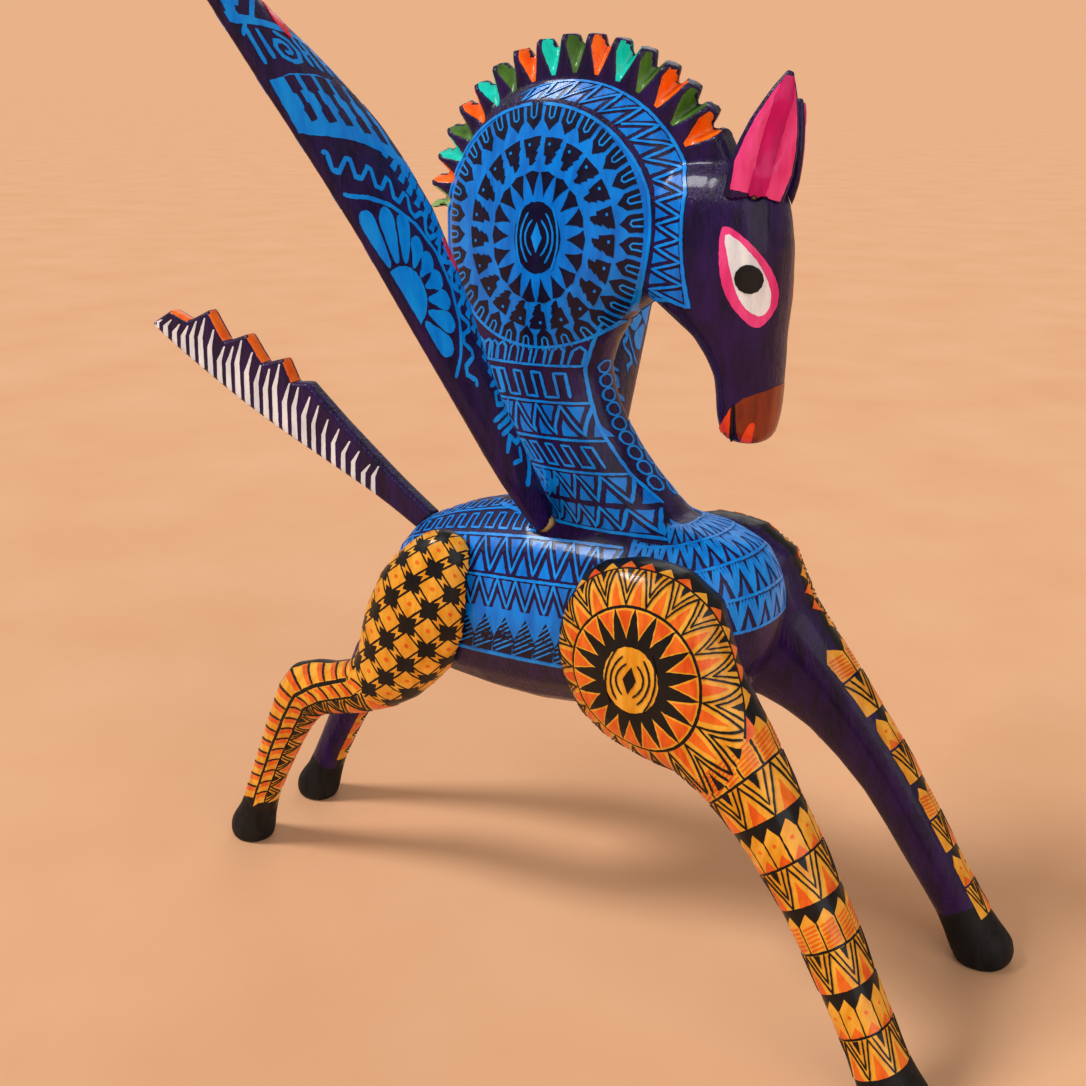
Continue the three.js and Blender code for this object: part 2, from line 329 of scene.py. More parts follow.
def polar(chart, centre, wide, tall):
    """(radius, turns) around a centre, stretched by wide and tall; turns run clockwise from the top."""

    def around(radius, turns):
        angle = math.tau * turns
        x = centre[0] + math.sin(angle) * radius * wide
        return chart(x, centre[1] + math.cos(angle) * radius * tall)

    return around


# ---- paint films ----


def inside(outline, x, y):
    hit = False
    for (x0, y0), (x1, y1) in zip(outline, outline[1:] + outline[:1]):
        if (y0 > y) != (y1 > y) and x < x0 + (x1 - x0) * (y - y0) / (y1 - y0):
            hit = not hit
    return hit


def resampled(points, step, closed):
    ends = points[1:] + points[:1] if closed else points[1:]
    out = []
    for (x0, y0), (x1, y1) in zip(points, ends):
        count = max(1, math.ceil(math.hypot(x1 - x0, y1 - y0) / step))
        out += [(x0 + (x1 - x0) * i / count, y0 + (y1 - y0) * i / count) for i in range(count)]
    return out if closed else out + [points[-1]]


class Film:
    """All the paint of one colour on one carved piece."""

    def __init__(self, name, carving, material, coat=1):
        self.name = name
        self.carving = carving
        self.material = material
        self.lift = coat * LAYER * MM
        self.points = []
        self.faces = []

    def _lay(self, chart, flat, faces, scale=(1, 1)):
        spots = [self.carving.land(*chart(x / scale[0], y / scale[1])) for x, y in flat]
        first = len(self.points)
        self.points += [(s[0] + s[1] * self.lift) if s else Vector() for s in spots]
        for face in faces:
            if any(spots[i] is None for i in face):
                continue
            corners = [spots[i][0] for i in face]
            if max((a - b).length for a, b in zip(corners, corners[1:] + corners[:1])) > SPAN * MM:
                continue
            up = (corners[1] - corners[0]).cross(corners[2] - corners[0])
            if abs(up.dot(spots[face[0]][1])) < up.length * FACING:
                continue
            order = face if up.dot(spots[face[0]][1]) > 0 else face[::-1]
            self.faces.append(tuple(first + i for i in order))

    def patch(self, chart, outline, scale=(1, 1), wobble=WOBBLE, grid=GRID):
        """A filled shape. Scale is the size in mm of one unit of each chart number."""
        outline = [(x * scale[0], y * scale[1]) for x, y in outline]
        edge = resampled(outline, STEP, closed=True)
        edge = [(x + hand.uniform(-wobble, wobble), y + hand.uniform(-wobble, wobble)) for x, y in edge]
        xs = [x for x, _ in edge]
        ys = [y for _, y in edge]
        fill = []
        for i in range(1, int((max(xs) - min(xs)) / grid) + 1):
            for j in range(1, int((max(ys) - min(ys)) / grid) + 1):
                x = min(xs) + (i - 0.5 + 0.25 * (j % 2)) * grid
                y = min(ys) + (j - 0.5) * grid
                if inside(edge, x, y):
                    fill.append((x, y))
        flat = [Vector(p) for p in edge + fill]
        flat, _, faces, _, _, _ = delaunay_2d_cdt(flat, [], [list(range(len(edge)))], 1, 1e-4)
        self._lay(chart, [tuple(p) for p in flat], [tuple(f) for f in faces], scale)

    def stroke(self, chart, points, width, scale=(1, 1), closed=False, taper=0.55, wobble=WOBBLE):
        """A brush line through points."""
        points = [(x * scale[0], y * scale[1]) for x, y in points]
        line = resampled(points, STEP * 0.9, closed)
        if closed:
            line = line + line[:1]
        flat = []
        last = len(line) - 1
        before = line[last - 1] if closed else line[0]
        after = line[1] if closed else line[last]
        for i, (x, y) in enumerate(line):
            x0, y0 = line[i - 1] if i else before
            x1, y1 = line[i + 1] if i < last else after
            length = math.hypot(x1 - x0, y1 - y0) or 1
            nx, ny = -(y1 - y0) / length, (x1 - x0) / length
            half = width / 2 * (1 + hand.uniform(-0.18, 0.18))
            if not closed and i in (0, last):
                half *= taper
            shift = hand.uniform(-wobble, wobble) * 0.5
            flat.append((x + nx * (half + shift), y + ny * (half + shift)))
            flat.append((x - nx * (half - shift), y - ny * (half - shift)))
        faces = [(2 * i, 2 * i + 1, 2 * i + 3, 2 * i + 2) for i in range(last)]
        self._lay(chart, flat, faces, scale)

    def dot(self, chart, x, y, radius, scale=(1, 1)):
        turn = [math.tau * i / 8 for i in range(8)]
        ring = [(x + radius * math.cos(a) / scale[0], y + radius * math.sin(a) / scale[1]) for a in turn]
        self.patch(chart, ring, scale, wobble=0.05)

    def dry(self):
        """Makes the mesh, once everything is painted."""
        mesh = bpy.data.meshes.new(self.name)
        used = sorted({i for face in self.faces for i in face})
        number = {old: new for new, old in enumerate(used)}
        points = [self.points[i] for i in used]
        mesh.from_pydata(points, [], [[number[i] for i in face] for face in self.faces])
        mesh.materials.append(self.material)
        obj = link(self.name, mesh)
        thick = obj.modifiers.new("thick", "SOLIDIFY")
        thick.thickness = FILM * MM
        thick.offset = -1
        obj.data = evaluated(obj)
        obj.modifiers.clear()
        obj.data.shade_smooth()
        obj.data.set_sharp_from_angle(angle=math.radians(40))
        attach(obj, self.carving.body)


def films(carving, prefix, **coats):
    """A film for each name, with its colour and its place above the wood."""
    return [Film(f"{prefix}_{name}", carving, *coat) for name, coat in coats.items()]


def dry(*painted):
    for film in painted:
        film.dry()


# ---- patterns, each drawn between u0 and u1 across a band that runs from v0 to v1 ----


def spread(v0, v1, count):
    step = (v1 - v0) / count
    return [(v0 + i * step, v0 + (i + 0.5) * step, v0 + (i + 1) * step) for i in range(count)]


def swap(pairs, flip):
    return [(b, a) for a, b in pairs] if flip else pairs


def blue_vees(film, line, chart, u0, u1, v0, v1, count, flip=False, scale=(1, 1)):
    """Hanging and standing triangles with a zigzag between them. u is across, v along the band."""
    height = u1 - u0
    for a, m, b in spread(v0, v1, count):
        wide = (b - a) * 0.27
        for foot, tip, middle in ((u1 - height * 0.04, u1 - height * 0.55, m),
                                  (u0 + height * 0.04, u0 + height * 0.55, b)):
            triangle = [(foot, middle - wide), (foot, middle + wide), (tip, middle)]
            film.patch(chart, swap(triangle, flip), scale)
        line.stroke(chart, swap([(u1, a), (u0 + height * 0.08, m), (u1, b)], flip), 0.75, scale)


def nested_vees(line, chart, u0, u1, v0, v1, count):
    height = u1 - u0
    for a, m, b in spread(v0, v1, count):
        for inset in (0, 0.16, 0.32):
            wide = (b - a) * inset
            foot = u0 + height * (0.06 + inset * 0.9)
            line.stroke(chart, [(a + wide, u1), (m, foot), (b - wide, u1)], 0.8)


def meander(line, chart, u0, u1, v0, v1, count, width=0.75, flip=False):
    """A square wave."""
    path = []
    for a, m, b in spread(v0, v1, count):
        path += [(u0, a + 0.4), (u1, a + 0.4), (u1, m), (u0, m)]
    line.stroke(chart, swap(path, flip), width)


def tongues(yellow, orange, chart, u0, u1, v0, v1, count, striped):
    """Pointed leaves that stand side by side, with stripes or a spot and an orange foot."""
    height = u1 - u0
    for a, m, b in spread(v0, v1, count):
        a, b = a + 0.3, b - 0.3
        tip = m + (b - a) * 0.15
        yellow.patch(chart, [(u1, a), (u0 + height * 0.32, a), (u0 + height * 0.06, tip),
                             (u0 + height * 0.35, b), (u1, b)])
        if striped:
            for i in range(6):
                u = u0 + height * (0.36 + 0.105 * i)
                orange.stroke(chart, [(u + 0.8, a + 0.4), (u, b - 0.4)], 0.6)
        else:
            orange.dot(chart, u0 + height * 0.5, m, 0.55)
            orange.patch(chart, [(u1, a + 0.3), (u1, b - 0.3), (u1 - height * 0.25, m + 0.6)])


def chevrons(yellow, orange, black, chart, u0, u1, v0, v1, count, scale=(1, 1)):
    """A yellow band with black nested vees and orange triangles."""
    height = u1 - u0
    step = 1.6 / scale[1]
    total = max(2, math.ceil((v1 - v0) / step))
    edge = [v0 + (v1 - v0) * i / total for i in range(total + 1)]
    pieces = max(1, math.ceil((v1 - v0) * scale[1] / 14))
    for start, _, end in spread(v0, v1, pieces):
        run = [start] + [v for v in edge if start < v < end] + [end]
        yellow.patch(chart, [(u0, v) for v in run] + [(u1, v) for v in reversed(run)], scale, 0.0)
    for a, m, b in spread(v0, v1, count):
        wide = b - a
        black.stroke(chart, [(u0, a), (u1, m), (u0, b)], 0.55, scale)
        inner = [(u0, a + wide * 0.2), (u1 - height * 0.28, m), (u0, b - wide * 0.2)]
        black.stroke(chart, inner, 0.5, scale)
        black.patch(chart, [(u0, a + wide * 0.38), (u0 + height * 0.34, m), (u0, b - wide * 0.38)], scale)
        orange.patch(chart, [(u1, a - wide * 0.24), (u0 + height * 0.38, a), (u1, a + wide * 0.24)], scale)


def slit_eye(ground, dark, chart, centre, wide, tall, lean):
    """An eye of nested curved lines round a diamond, a little tilted."""
    x, z = centre
    ground.patch(chart, oval(centre, wide, tall), wobble=0.15)

    def turned(points):
        return [(x + a + b * lean, z + b) for a, b in points]

    for share in (0.9, 0.7, 0.5):
        for sign in (-1, 1):
            bow = []
            for k in range(-4, 5):
                bulge = 1 - (k / 4.6) ** 2 * (1.3 - share)
                bow.append((sign * wide * share * bulge, tall * share * k / 4 * 0.98))
            dark.stroke(chart, turned(bow), 0.55)
    dark.patch(chart, turned([(0, -tall * 0.42), (wide * 0.24, 0), (0, tall * 0.42), (-wide * 0.24, 0)]))


def sun(yellow, orange, black, flat, centre):
    """The disc on a shoulder: a slit eye, black rays, orange triangles and a ring of chevrons."""
    chart = polar(flat, centre, 1.0, 1.02)
    mm_at = 20 * math.tau
    slit_eye(yellow, black, flat, centre, 8.8, 9.8, 0.12)
    for a, m, b in spread(0, 1, 19):
        for film, outer, foot, waist, tip in ((yellow, 21.2, 0.001, 0.013, 12),
                                              (orange, 20.5, 0.007, 0.018, 13.6)):
            film.patch(chart, [(outer, a + foot), (outer, b - foot), (16, b - waist), (tip, m),
                               (16, a + waist)], (1, mm_at))
    chevrons(yellow, orange, black, chart, 36.4, 22.2, 0, 1, 21, (1, mm_at * 1.3))
    for a, m, b in spread(-0.14, 0.3, 14):
        film = orange if round(a * 100) % 2 else yellow  # mostly every other one
        film.patch(chart, [(37.4, a + 0.003), (37.4, b - 0.003), (41.5, m)], (1, mm_at * 1.9))


# ---- the body: base, medallion, bands, chest and mane ----

MANE_CENTRE = (0, 228.5)
MANE_TEETH = 17
NAPE, BROW = 174, 24  # degrees where the mane begins and ends
MANE_OUTER = 53.2
MANE_HALF = 7.5  # half its thickness
MANE_FRONT = 46
GOUGE_INNER = 41
CREST_RISE = 2.7
CREST_START, CREST_FULL = 28, 40  # radii between which the crest comes to its whole rise


def crest(angle):
    """How much taller the mane stands at its top than at its ends."""
    return CREST_RISE * max(0.0, math.sin(angle)) ** 2


def lift_crest(spot):
    """Raises the crest of the neck and the mane on it."""
    x, z = spot.x - MANE_CENTRE[0], spot.z - MANE_CENTRE[1]
    reach = math.hypot(x, z)
    if z <= 0 or reach < CREST_START or spot.x > MANE_FRONT - 2:
        return spot
    share = min(1.0, (reach - CREST_START) / (CREST_FULL - CREST_START))
    grown = crest(math.atan2(z, x)) * share
    return spot + Vector((x, 0, z)) / reach * grown


def mane_weight(spot):
    """How much the wood is smoothed: hardly at all on the teeth."""
    reach = math.hypot(spot.x - MANE_CENTRE[0], spot.z - MANE_CENTRE[1])
    over = spot.z > 230 and spot.x < MANE_FRONT
    return 0.03 if over and reach > GOUGE_INNER - 1 and abs(spot.y) < MANE_HALF else 1.0


body = Carving("body", "carving", "purple_paint", [PURPLE], 0.95, 14, mane_weight, lift_crest)

MEDALLION = (-6.7, 228.5)


def medallion(side):
    name = SIDES[side]
    field, dark, line = films(body, f"medallion_{name}", field=(BLUE, 1), dark=(NIGHT, 2),
                              lines=(LINE_BLUE, 3))
    flat = side_chart(side)
    disc = polar(flat, (-8, 231), 1.03, 0.98)
    for a, _, b in spread(0, 1, 8):
        wedge = [a + (b - a) * i / 6 for i in range(7)]
        field.patch(disc, [(34.6, v) for v in wedge] + [(0.5, b), (0.5, a)], (1, 110), wobble=0.0)
    line.stroke(disc, [(35, i / 60) for i in range(60)], 0.8, (1, 220), closed=True)
    slit_eye(dark, line, flat, MEDALLION, 7.8, 10.2, 0.0)
    inner = polar(flat, MEDALLION, 0.84, 1.0)
    for a, m, b in spread(0, 1, 18):
        dark.patch(inner, [(11.6, m), (18.2, b - 0.003), (18.8, m), (18.2, a + 0.003)], (1, 100))
    frets = polar(flat, (-6.6, 229.3), 0.9, 1.0)
    for a, m, b in spread(0, 1, 21):
        c = (b - a) * 0.1
        shape = [(27, a + c), (27.3, b - c), (25.4, b - c * 1.6), (25.2, b - c), (23.2, b - c * 3.2),
                 (23, b - c * 2.2), (21, m + c), (20.8, m + c * 1.8), (19.6, m - c), (19.6, a + c * 2.4),
                 (21.8, a + c * 2.8), (22, a + c * 1.2)]
        dark.patch(frets, shape, (1, 145))
        line.dot(frets, 25.2, a + c * 3.6, 0.45, (1, 145))
    petals = polar(flat, (-7.6, 230.6), 0.97, 1.0)
    for a, m, b in spread(0, 1, 32):
        c = (b - a) * 0.1
        leaf = [(34.6, a + c), (34.6, b - c), (30.4, b - c), (27.6, m), (30.4, a + c)]
        dark.patch(petals, leaf, (1, 195))
        loop = [(35, m - c * 1.5), (31.4, m - c * 1.3), (30.8, m), (31.4, m + c * 1.3), (35, m + c * 1.5)]
        line.stroke(petals, loop, 0.5, (1, 195))
    crescent(flat, field, line)
    dry(field, dark, line)


def crescent(flat, field, line):
    """The zigzag between the medallion, the mane and the cheek."""

    def ring(share):
        angle = math.radians(116 - 146 * share)
        return -8 + 36.8 * math.cos(angle), 231 + 35.2 * math.sin(angle)

    def rim(share):
        angle = math.radians(114 - 94 * min(share / 0.66, 1))
        reach = 40.3 + crest(angle)
        x, z = reach * math.cos(angle), 228.5 + reach * math.sin(angle)
        down = max(0, share - 0.66) / 0.34
        return x + 3.2 * down - 4 * down * (1 - down), z - 30.5 * down

    strip = between(flat, ring, rim)
    line.stroke(strip, [(1, i / 30) for i in range(31)], 0.85, (9, 100))
    blue_vees(field, line, strip, 0.08, 0.95, 0.05, 1, 14, False, (9, 100))
    line.stroke(flat, [(41.3, 212), (34, 213.5), (27, 212.5), (20, 208)], 0.8)


NECK_CENTRE = [(146, 10), (158, 3), (173, -9), (190, -14), (205, -10)]
NECK_FRONT = 17.5  # mm around the neck where the side bands end
NECK_BACK = -40


def neck_bands(side):
    name = SIDES[side]
    field, line = films(body, f"neck_{name}", field=(BLUE, 1), lines=(LINE_BLUE, 2))
    chart = post_chart(side, 15, lambda z: along(NECK_CENTRE, z))
    for z in (191.3, 180.2, 169.4, 160.2):
        line.stroke(chart, [(NECK_BACK, z), (NECK_FRONT, z)], 0.7)
    meander(line, chart, 181.8, 189, NECK_BACK, NECK_FRONT - 1, 9, 0.75, True)
    blue_vees(field, line, chart, 170.2, 179.6, NECK_BACK, NECK_FRONT, 8, True)
    meander(line, chart, 161.8, 167.6, NECK_BACK, NECK_FRONT - 1, 10, 0.7, True)
    blue_vees(field, line, chart, 152, 159.6, NECK_BACK, NECK_FRONT + 1, 8, True)
    for a, m, b in spread(NECK_BACK, NECK_FRONT, 13):
        arch = [(a + 0.7, 191.6), (a + 0.9, 196), (m, 197.4), (b - 0.9, 196), (b - 0.7, 191.6)]
        line.stroke(chart, arch, 0.7)
    border = [(0, 205), (0, 190), (0, 172), (0.5, 160), (3, 152)]
    line.stroke(chart, [(NECK_FRONT + ahead, z) for ahead, z in border], 0.8)
    if side == RIGHT:
        for around, top, count in ((22.2, 190.5, 9), (27, 171, 5)):
            for i in range(count):
                ring = oval((around, top - i * 4.2), 1.9, 1.9, 10)
                line.stroke(chart, ring, 0.5, closed=True)
    blue_vees(field, line, chart, 144.6, 151, -24, NECK_FRONT + 2, 7, True)
    line.stroke(chart, [(-24, 144.2), (NECK_FRONT + 3, 144.2)], 0.7)
    dry(field, line)


TORSO_LINE = [(-74, 0, 112), (-40, 0, 112.5), (-8, 0, 114), (24, 0, 116), (60, 0, 118)]
TORSO_RADIUS = 29
TORSO_BACK = 11  # where the bands start, in mm from the rump
TORSO_FRONT = 101


def band(degrees):
    return math.radians(degrees) * TORSO_RADIUS


def torso_bands(side):
    name = SIDES[side]
    field, dark, line = films(body, f"torso_{name}", field=(BLUE, 1), dark=(NIGHT, 2),
                              lines=(LINE_BLUE, 2))
    chart = tube_chart(side, TORSO_LINE, TORSO_RADIUS)
    for degrees in (52, 27):
        line.stroke(chart, [(TORSO_BACK, band(degrees)), (TORSO_FRONT, band(degrees))], 0.8)
    line.stroke(chart, [(TORSO_BACK + 2, band(-28)), (TORSO_FRONT, band(-28))], 1.0)
    meander(line, chart, band(56), band(67), TORSO_BACK + 4, TORSO_FRONT - 26, 11, 0.7, True)
    line.stroke(chart, [(TORSO_BACK + 6, band(71)), (TORSO_FRONT - 24, band(71))], 0.7)
    meander(line, chart, band(74), band(85), TORSO_BACK + 8, TORSO_FRONT - 30, 10, 0.7, True)
    blue_vees(field, line, chart, band(28.5), band(51), TORSO_BACK, TORSO_FRONT, 11, True)
    blue_vees(field, line, chart, band(5), band(26), TORSO_BACK, TORSO_FRONT, 13, True)
    for a, _, b in spread(TORSO_BACK, TORSO_FRONT, 9):
        field.patch(chart, [(a, band(-27)), (b, band(-27)), (b, band(6)), (a, band(6))], wobble=0.0)
    for a, m, b in spread(TORSO_BACK, TORSO_FRONT, 12):
        low, high = band(-26), band(1)
        dark.patch(chart, [(a + 0.2, low), (a + 1.0, low + 5), (m + 2.6, high), (b + 1.2, low + 6),
                           (b - 0.3, low)])
        for i in range(6):
            base = low + (high - low) * (0.06 + 0.13 * i)
            line.stroke(chart, [(a + 0.3 + i * 0.45, base - 0.8), (b + 1.1 - i * 0.1, base + 3.6)], 0.5)
    dry(field, dark, line)


def chest_bands(side):
    name = SIDES[side]
    field, line = films(body, f"chest_{name}", field=(BLUE, 1), lines=(LINE_BLUE, 2))
    chart = ball_chart(side, (32, 0, 116), 32)
    front = 50.2
    rows = [4, 13, 22.5, 32, 41]
    for low in rows:
        back = -8 if low < 35 else 9
        line.stroke(chart, [(back, low - 1.5), ((back + front) / 2, low), (front, low + 1)], 0.8)
    for low, high in zip(rows, rows[1:]):
        count = 9 if low < 30 else 6
        back = -8 if low < 30 else 9
        nested_vees(line, chart, low + 0.3, high, back, front, count)
        for a, _, b in spread(back, front, count):
            wide = (b - a) * 0.2
            tip = low + (high - low) * 0.55
            field.patch(chart, [(b - wide, low + 0.4), (b + wide, low + 0.4), (b, tip)])
    dry(field, line)


def mane_paint(side):
    """The painted gouges between the teeth."""
    flat = side_chart(side)
    colors = [PALE_GREEN, MANE_ORANGE, TURQUOISE, GREEN]
    cycle = [0, 1, 2, 3, 1, 2, 3, 1, 2, 3, 1, 2, 3, 1, 3, 1]
    painted = [Film(f"mane_{SIDES[side]}_{i}", body, color, 1) for i, color in enumerate(colors)]
    for tooth in range(MANE_TEETH - 1):
        turn = NAPE + (BROW - NAPE) * (tooth + 0.5) / MANE_TEETH
        angle = math.radians(turn)
        out = (math.cos(angle), math.sin(angle))
        across = (-out[1], out[0])
        half = [(GOUGE_INNER + 1.4, 0.6), (GOUGE_INNER + 6, 2.2), (MANE_OUTER - 3.5, 3.1),
                (MANE_OUTER + 0.4, 3.4)]
        shape = [(r + crest(angle), -t) for r, t in half] + [(r + crest(angle), t) for r, t in half[::-1]]
        outline = [(MANE_CENTRE[0] + out[0] * r + across[0] * t,
                    MANE_CENTRE[1] + out[1] * r + across[1] * t) for r, t in shape]
        painted[cycle[tooth]].patch(flat, outline, grid=0.8, wobble=0.06)
    dry(*painted)


# ---- the head ----


def smooth_loop(points, steps=4):
    """A closed rounded outline through points."""
    out = []
    count = len(points)
    for i in range(count):
        p0, p1, p2, p3 = (Vector(points[(i + k) % count]) for k in (-1, 0, 1, 2))
        bend = 2 * p0 - 5 * p1 + 4 * p2 - p3
        twist = 3 * p1 - p0 - 3 * p2 + p3
        for t in (k / steps for k in range(steps)):
            out.append(tuple(0.5 * (2 * p1 + (p2 - p0) * t + bend * t * t + twist * t**3)))
    return out


def eye_paint(side, chart):
    pink, white, black = films(body, f"eye_{SIDES[side]}", pink=(PINK, 1), white=(WHITE, 3),
                               pupil=(BLACK, 6))
    pink.patch(chart, smooth_loop([(50.7, 234.2), (50, 224.4), (53, 215), (61, 208.2), (66.3, 212.6),
                                   (67.4, 218.7), (64.1, 225.3), (57.1, 231.7)]))
    white.patch(chart, smooth_loop([(51.7, 232.3), (54, 221), (57.2, 214.2), (62.1, 211.4), (65, 214.2),
                                    (64.3, 220.6), (59, 227.9)]))
    for k, size in enumerate((4.2, 3.6, 2.6)):
        black.lift = (5 + 2.2 * k) * LAYER * MM
        black.patch(chart, oval((58.8, 221), size, size * 0.92, 14), wobble=0.06)
    dry(pink, white, black)


def mouth_paint(side, chart):
    red = Film(f"nostril_{SIDES[side]}", body, NOSTRIL, 3)
    slit = Film(f"mouth_{SIDES[side]}", body, BLACK, 4)
    red.patch(chart, smooth_loop([(62.4, 181.6), (60.6, 181), (58.6, 176.2), (59.6, 174.4), (61.4, 175.6)]))
    red.patch(chart, [(55.4, 185.6), (52.6, 180.6), (50.6, 176.6), (55.2, 176.2)])
    slit.stroke(chart, [(55.9, 186.4), (56, 181), (56, 174.5)], 0.7)
    dry(red, slit)


def face_paint(side):
    chart = face_chart(side, 14)
    eye_paint(side, chart)
    mouth_paint(side, chart)


def muzzle_cap():
    for side, name in SIDES.items():
        film = Film(f"muzzle_{name}", body, MUZZLE, 1)
        chart = post_chart(side, 9, lambda z: 55.5)
        top = [(-0.6, 185.5), (1.5, 187.6), (5, 189.2), (10, 190.3), (14.2, 190.5)]
        film.patch(chart, top + [(14.2, 174.2), (8, 174.2), (-0.6, 174.2)], wobble=0.05)
        film.dry()


# ---- legs ----

FRONT_LINE = [(30, 27, 124.5), (39.5, 27.5, 112.5), (50.5, 29, 103.5), (62, 31, 95.5), (76.5, 34, 81.5),
              (93.5, 37, 60), (107.5, 39.5, 37), (118, 42, 19), (124, 43, 8)]
REAR_LINE = [(-33, 24, 133), (-43, 24, 113), (-58, 24, 87), (-69, 23.5, 78), (-82, 23, 73.5),
             (-95, 22, 68), (-104, 21.5, 58), (-111, 21, 46), (-122, 20, 24), (-127, 19.5, 12)]
SUN_CENTRE = (39.5, 110)
THIGH_CENTRE = (-47, 108)
THIGH = [(-44, 146), (-22, 146), (-10, 130), (-12, 108), (-20, 90), (-38, 76), (-64, 70), (-77, 80),
         (-74, 100), (-66, 120), (-56, 136)]
HOOF_TOP = {"front": 18.5, "rear": 15.5}
HOOF_SLOPE = {"front": -0.55, "rear": 0.5}


def leg_tint(side, end):
    """Purple inside, black outside under the patterns, and a black hoof."""
    line = FRONT_LINE if end == "front" else REAR_LINE

    def rule(spot):
        if spot.z + HOOF_SLOPE[end] * (spot.x - line[-2][0]) < HOOF_TOP[end]:
            return 2
        near = min(line, key=lambda p: (p[0] - spot.x) ** 2 + (p[2] - spot.z) ** 2)
        return 1 if side * spot.y > near[1] - 2.5 else 0

    return rule


def carve_leg(end, side):
    name = f"{end}_{SIDES[side]}_leg"
    leg = Carving(name, "carving", "ochre_paint", [PURPLE, BLACK, HOOF], 0.9, 10)
    leg.tint(leg_tint(side, end))
    return leg


def leg_films(end, side, leg):
    name = f"{end}_{SIDES[side]}"
    return films(leg, name, yellow=(YELLOW, 1), orange=(ORANGE, 2), black=(BLACK, 3))


def front_leg(side):
    leg = carve_leg("front", side)
    yellow, orange, black = leg_films("front", side, leg)
    sun(yellow, orange, black, dome_chart(side, SUN_CENTRE, 40, 0.024), SUN_CENTRE)
    limb = tube_chart(side, FRONT_LINE, 10)
    for row in range(4):
        s = 46.5 + 25 * row
        back, front = -17 + row, 22
        tongues(yellow, orange, limb, s, s + 11.6, back, front, 7 - row // 2, row % 2 == 0)
        chevrons(yellow, orange, black, limb, s + 12.4, s + 23.6, back, front, 4)
    dry(yellow, orange, black)


def rear_leg(side):
    leg = carve_leg("rear", side)
    yellow, orange, black = leg_films("rear", side, leg)
    lattice(yellow, orange, dome_chart(side, THIGH_CENTRE, 33, 0.025))
    shank(yellow, orange, black, tube_chart(side, REAR_LINE, 9))
    dry(yellow, orange, black)


LATTICE_PITCH = 9.9
LATTICE_TURN = 38  # degrees
SQUARE = 3.15  # half a side of its squares


def lattice(yellow, orange, flat):
    """Yellow squares with an orange spot on black, with a small triangle on each side."""
    turn = math.radians(LATTICE_TURN)
    ux, uz = math.cos(turn), math.sin(turn)

    def spot(a, b):
        return -42.2 + a * ux - b * uz, 115 + a * uz + b * ux

    for i in range(-6, 7):
        for j in range(-7, 6):
            a, b = i * LATTICE_PITCH, j * LATTICE_PITCH
            if not inside(THIGH, *spot(a, b)):
                continue
            corners = [(-1, -1), (1, -1), (1, 1), (-1, 1)]
            yellow.patch(flat, [spot(a + u * SQUARE, b + v * SQUARE) for u, v in corners])
            orange.dot(flat, *spot(a + 0.3, b), 0.75)
            for sign in (-1, 1):
                foot, tip = sign * 3.9, sign * 5.2
                above = [spot(a - 2.0, b + foot), spot(a + 1.9, b + foot), spot(a + 0.3, b + tip)]
                yellow.patch(flat, above, wobble=0.04)
                beside = [spot(a + foot, b - 1.9), spot(a + foot, b + 2.0), spot(a + tip, b + 0.3)]
                yellow.patch(flat, beside, wobble=0.04)


SHANK_SHIFT = [(60, -4.5), (85, -3.7), (110, 0.8), (150, 1.2)]  # how far the veins wander round the limb


def shank(yellow, orange, black, limb):
    """Leaf blades between two black veins that turn round the hock, and triangles in front."""

    def chart(s, around):
        return limb(s, around + along(SHANK_SHIFT, s))

    for a, m, b in spread(60, 150, 15):
        yellow.patch(chart, [(a, 5.4), (a + 1, 3), (a + 3.6, 0.7), (b + 3.6, 0.7), (b + 1, 3), (b, 5.4)])
        orange.patch(chart, [(a + 0.3, 5), (a + 1.4, 2.9), (a + 3.6, 1.1), (m + 3, 1.1), (m + 0.9, 2.9),
                             (m, 5)])
        black.stroke(chart, [(a, 5.4), (a + 0.4, 4.2), (a + 1.4, 2.6), (a + 3.4, 0.7)], 0.6)
        yellow.patch(chart, [(a, -0.7), (a + 1.2, -4), (a + 4, -9), (b + 4, -9), (b + 1.2, -4), (b, -0.7)])
        orange.patch(chart, [(a + 0.4, -1.1), (a + 1.6, -4), (a + 4.1, -8.6), (m + 3.4, -8.6), (m + 1, -4),
                             (m - 0.3, -1.1)])
        black.stroke(chart, [(a, -0.7), (a + 0.8, -2.4), (a + 2.2, -5.4), (a + 4, -9)], 0.7)
    for a, m, b in spread(62, 150, 10):
        yellow.patch(chart, [(a, 6.3), (b, 6.3), (b, 18), (a, 18)], wobble=0.03)
        black.stroke(chart, [(a, 6.3), (m, 14.6), (b, 6.3)], 0.6)
        black.stroke(chart, [(a + 1.5, 6.3), (m, 12), (b - 1.5, 6.3)], 0.5)
        black.patch(chart, [(m - 1.7, 6.3), (m, 9.4), (m + 1.7, 6.3)])
        orange.patch(chart, [(a - 3.4, 18), (a - 2.2, 14), (a, 8.8), (a + 2.2, 14), (a + 3.4, 18)])


# ---- wings ----

WINGS = {
    "right": ((-5, -17, 146), (-0.22, -0.65, 1), (-0.24, 0.84, 0.49)),
    "left": ((-5, 17, 146), (-0.21, 0.8, 0.56), (-0.36, -0.6, 0.72)),
}
WING_OUTER = [(0, -4.8), (20, -6), (40, -5.2), (62, -4), (90, -2), (120, -0.6), (150, -0.8), (176, -0.8),
              (194, -0.5), (200, 0)]
WING_WIDTH = [(0, 9.6), (20, 13.6), (40, 18.4), (62, 27.4), (90, 35.6), (120, 32.6), (150, 22.6),
             (176, 11.2), (194, 4.6), (200, 1)]
WING_LAP = [(0, 2), (60, 1.8), (90, 1.3), (115, 0.3), (200, 0.3)]  # where d = 0 lies, round the edge
EDGE = 2.4  # radius of the wing's outer edge
EDGE_ARC = EDGE * math.pi / 2


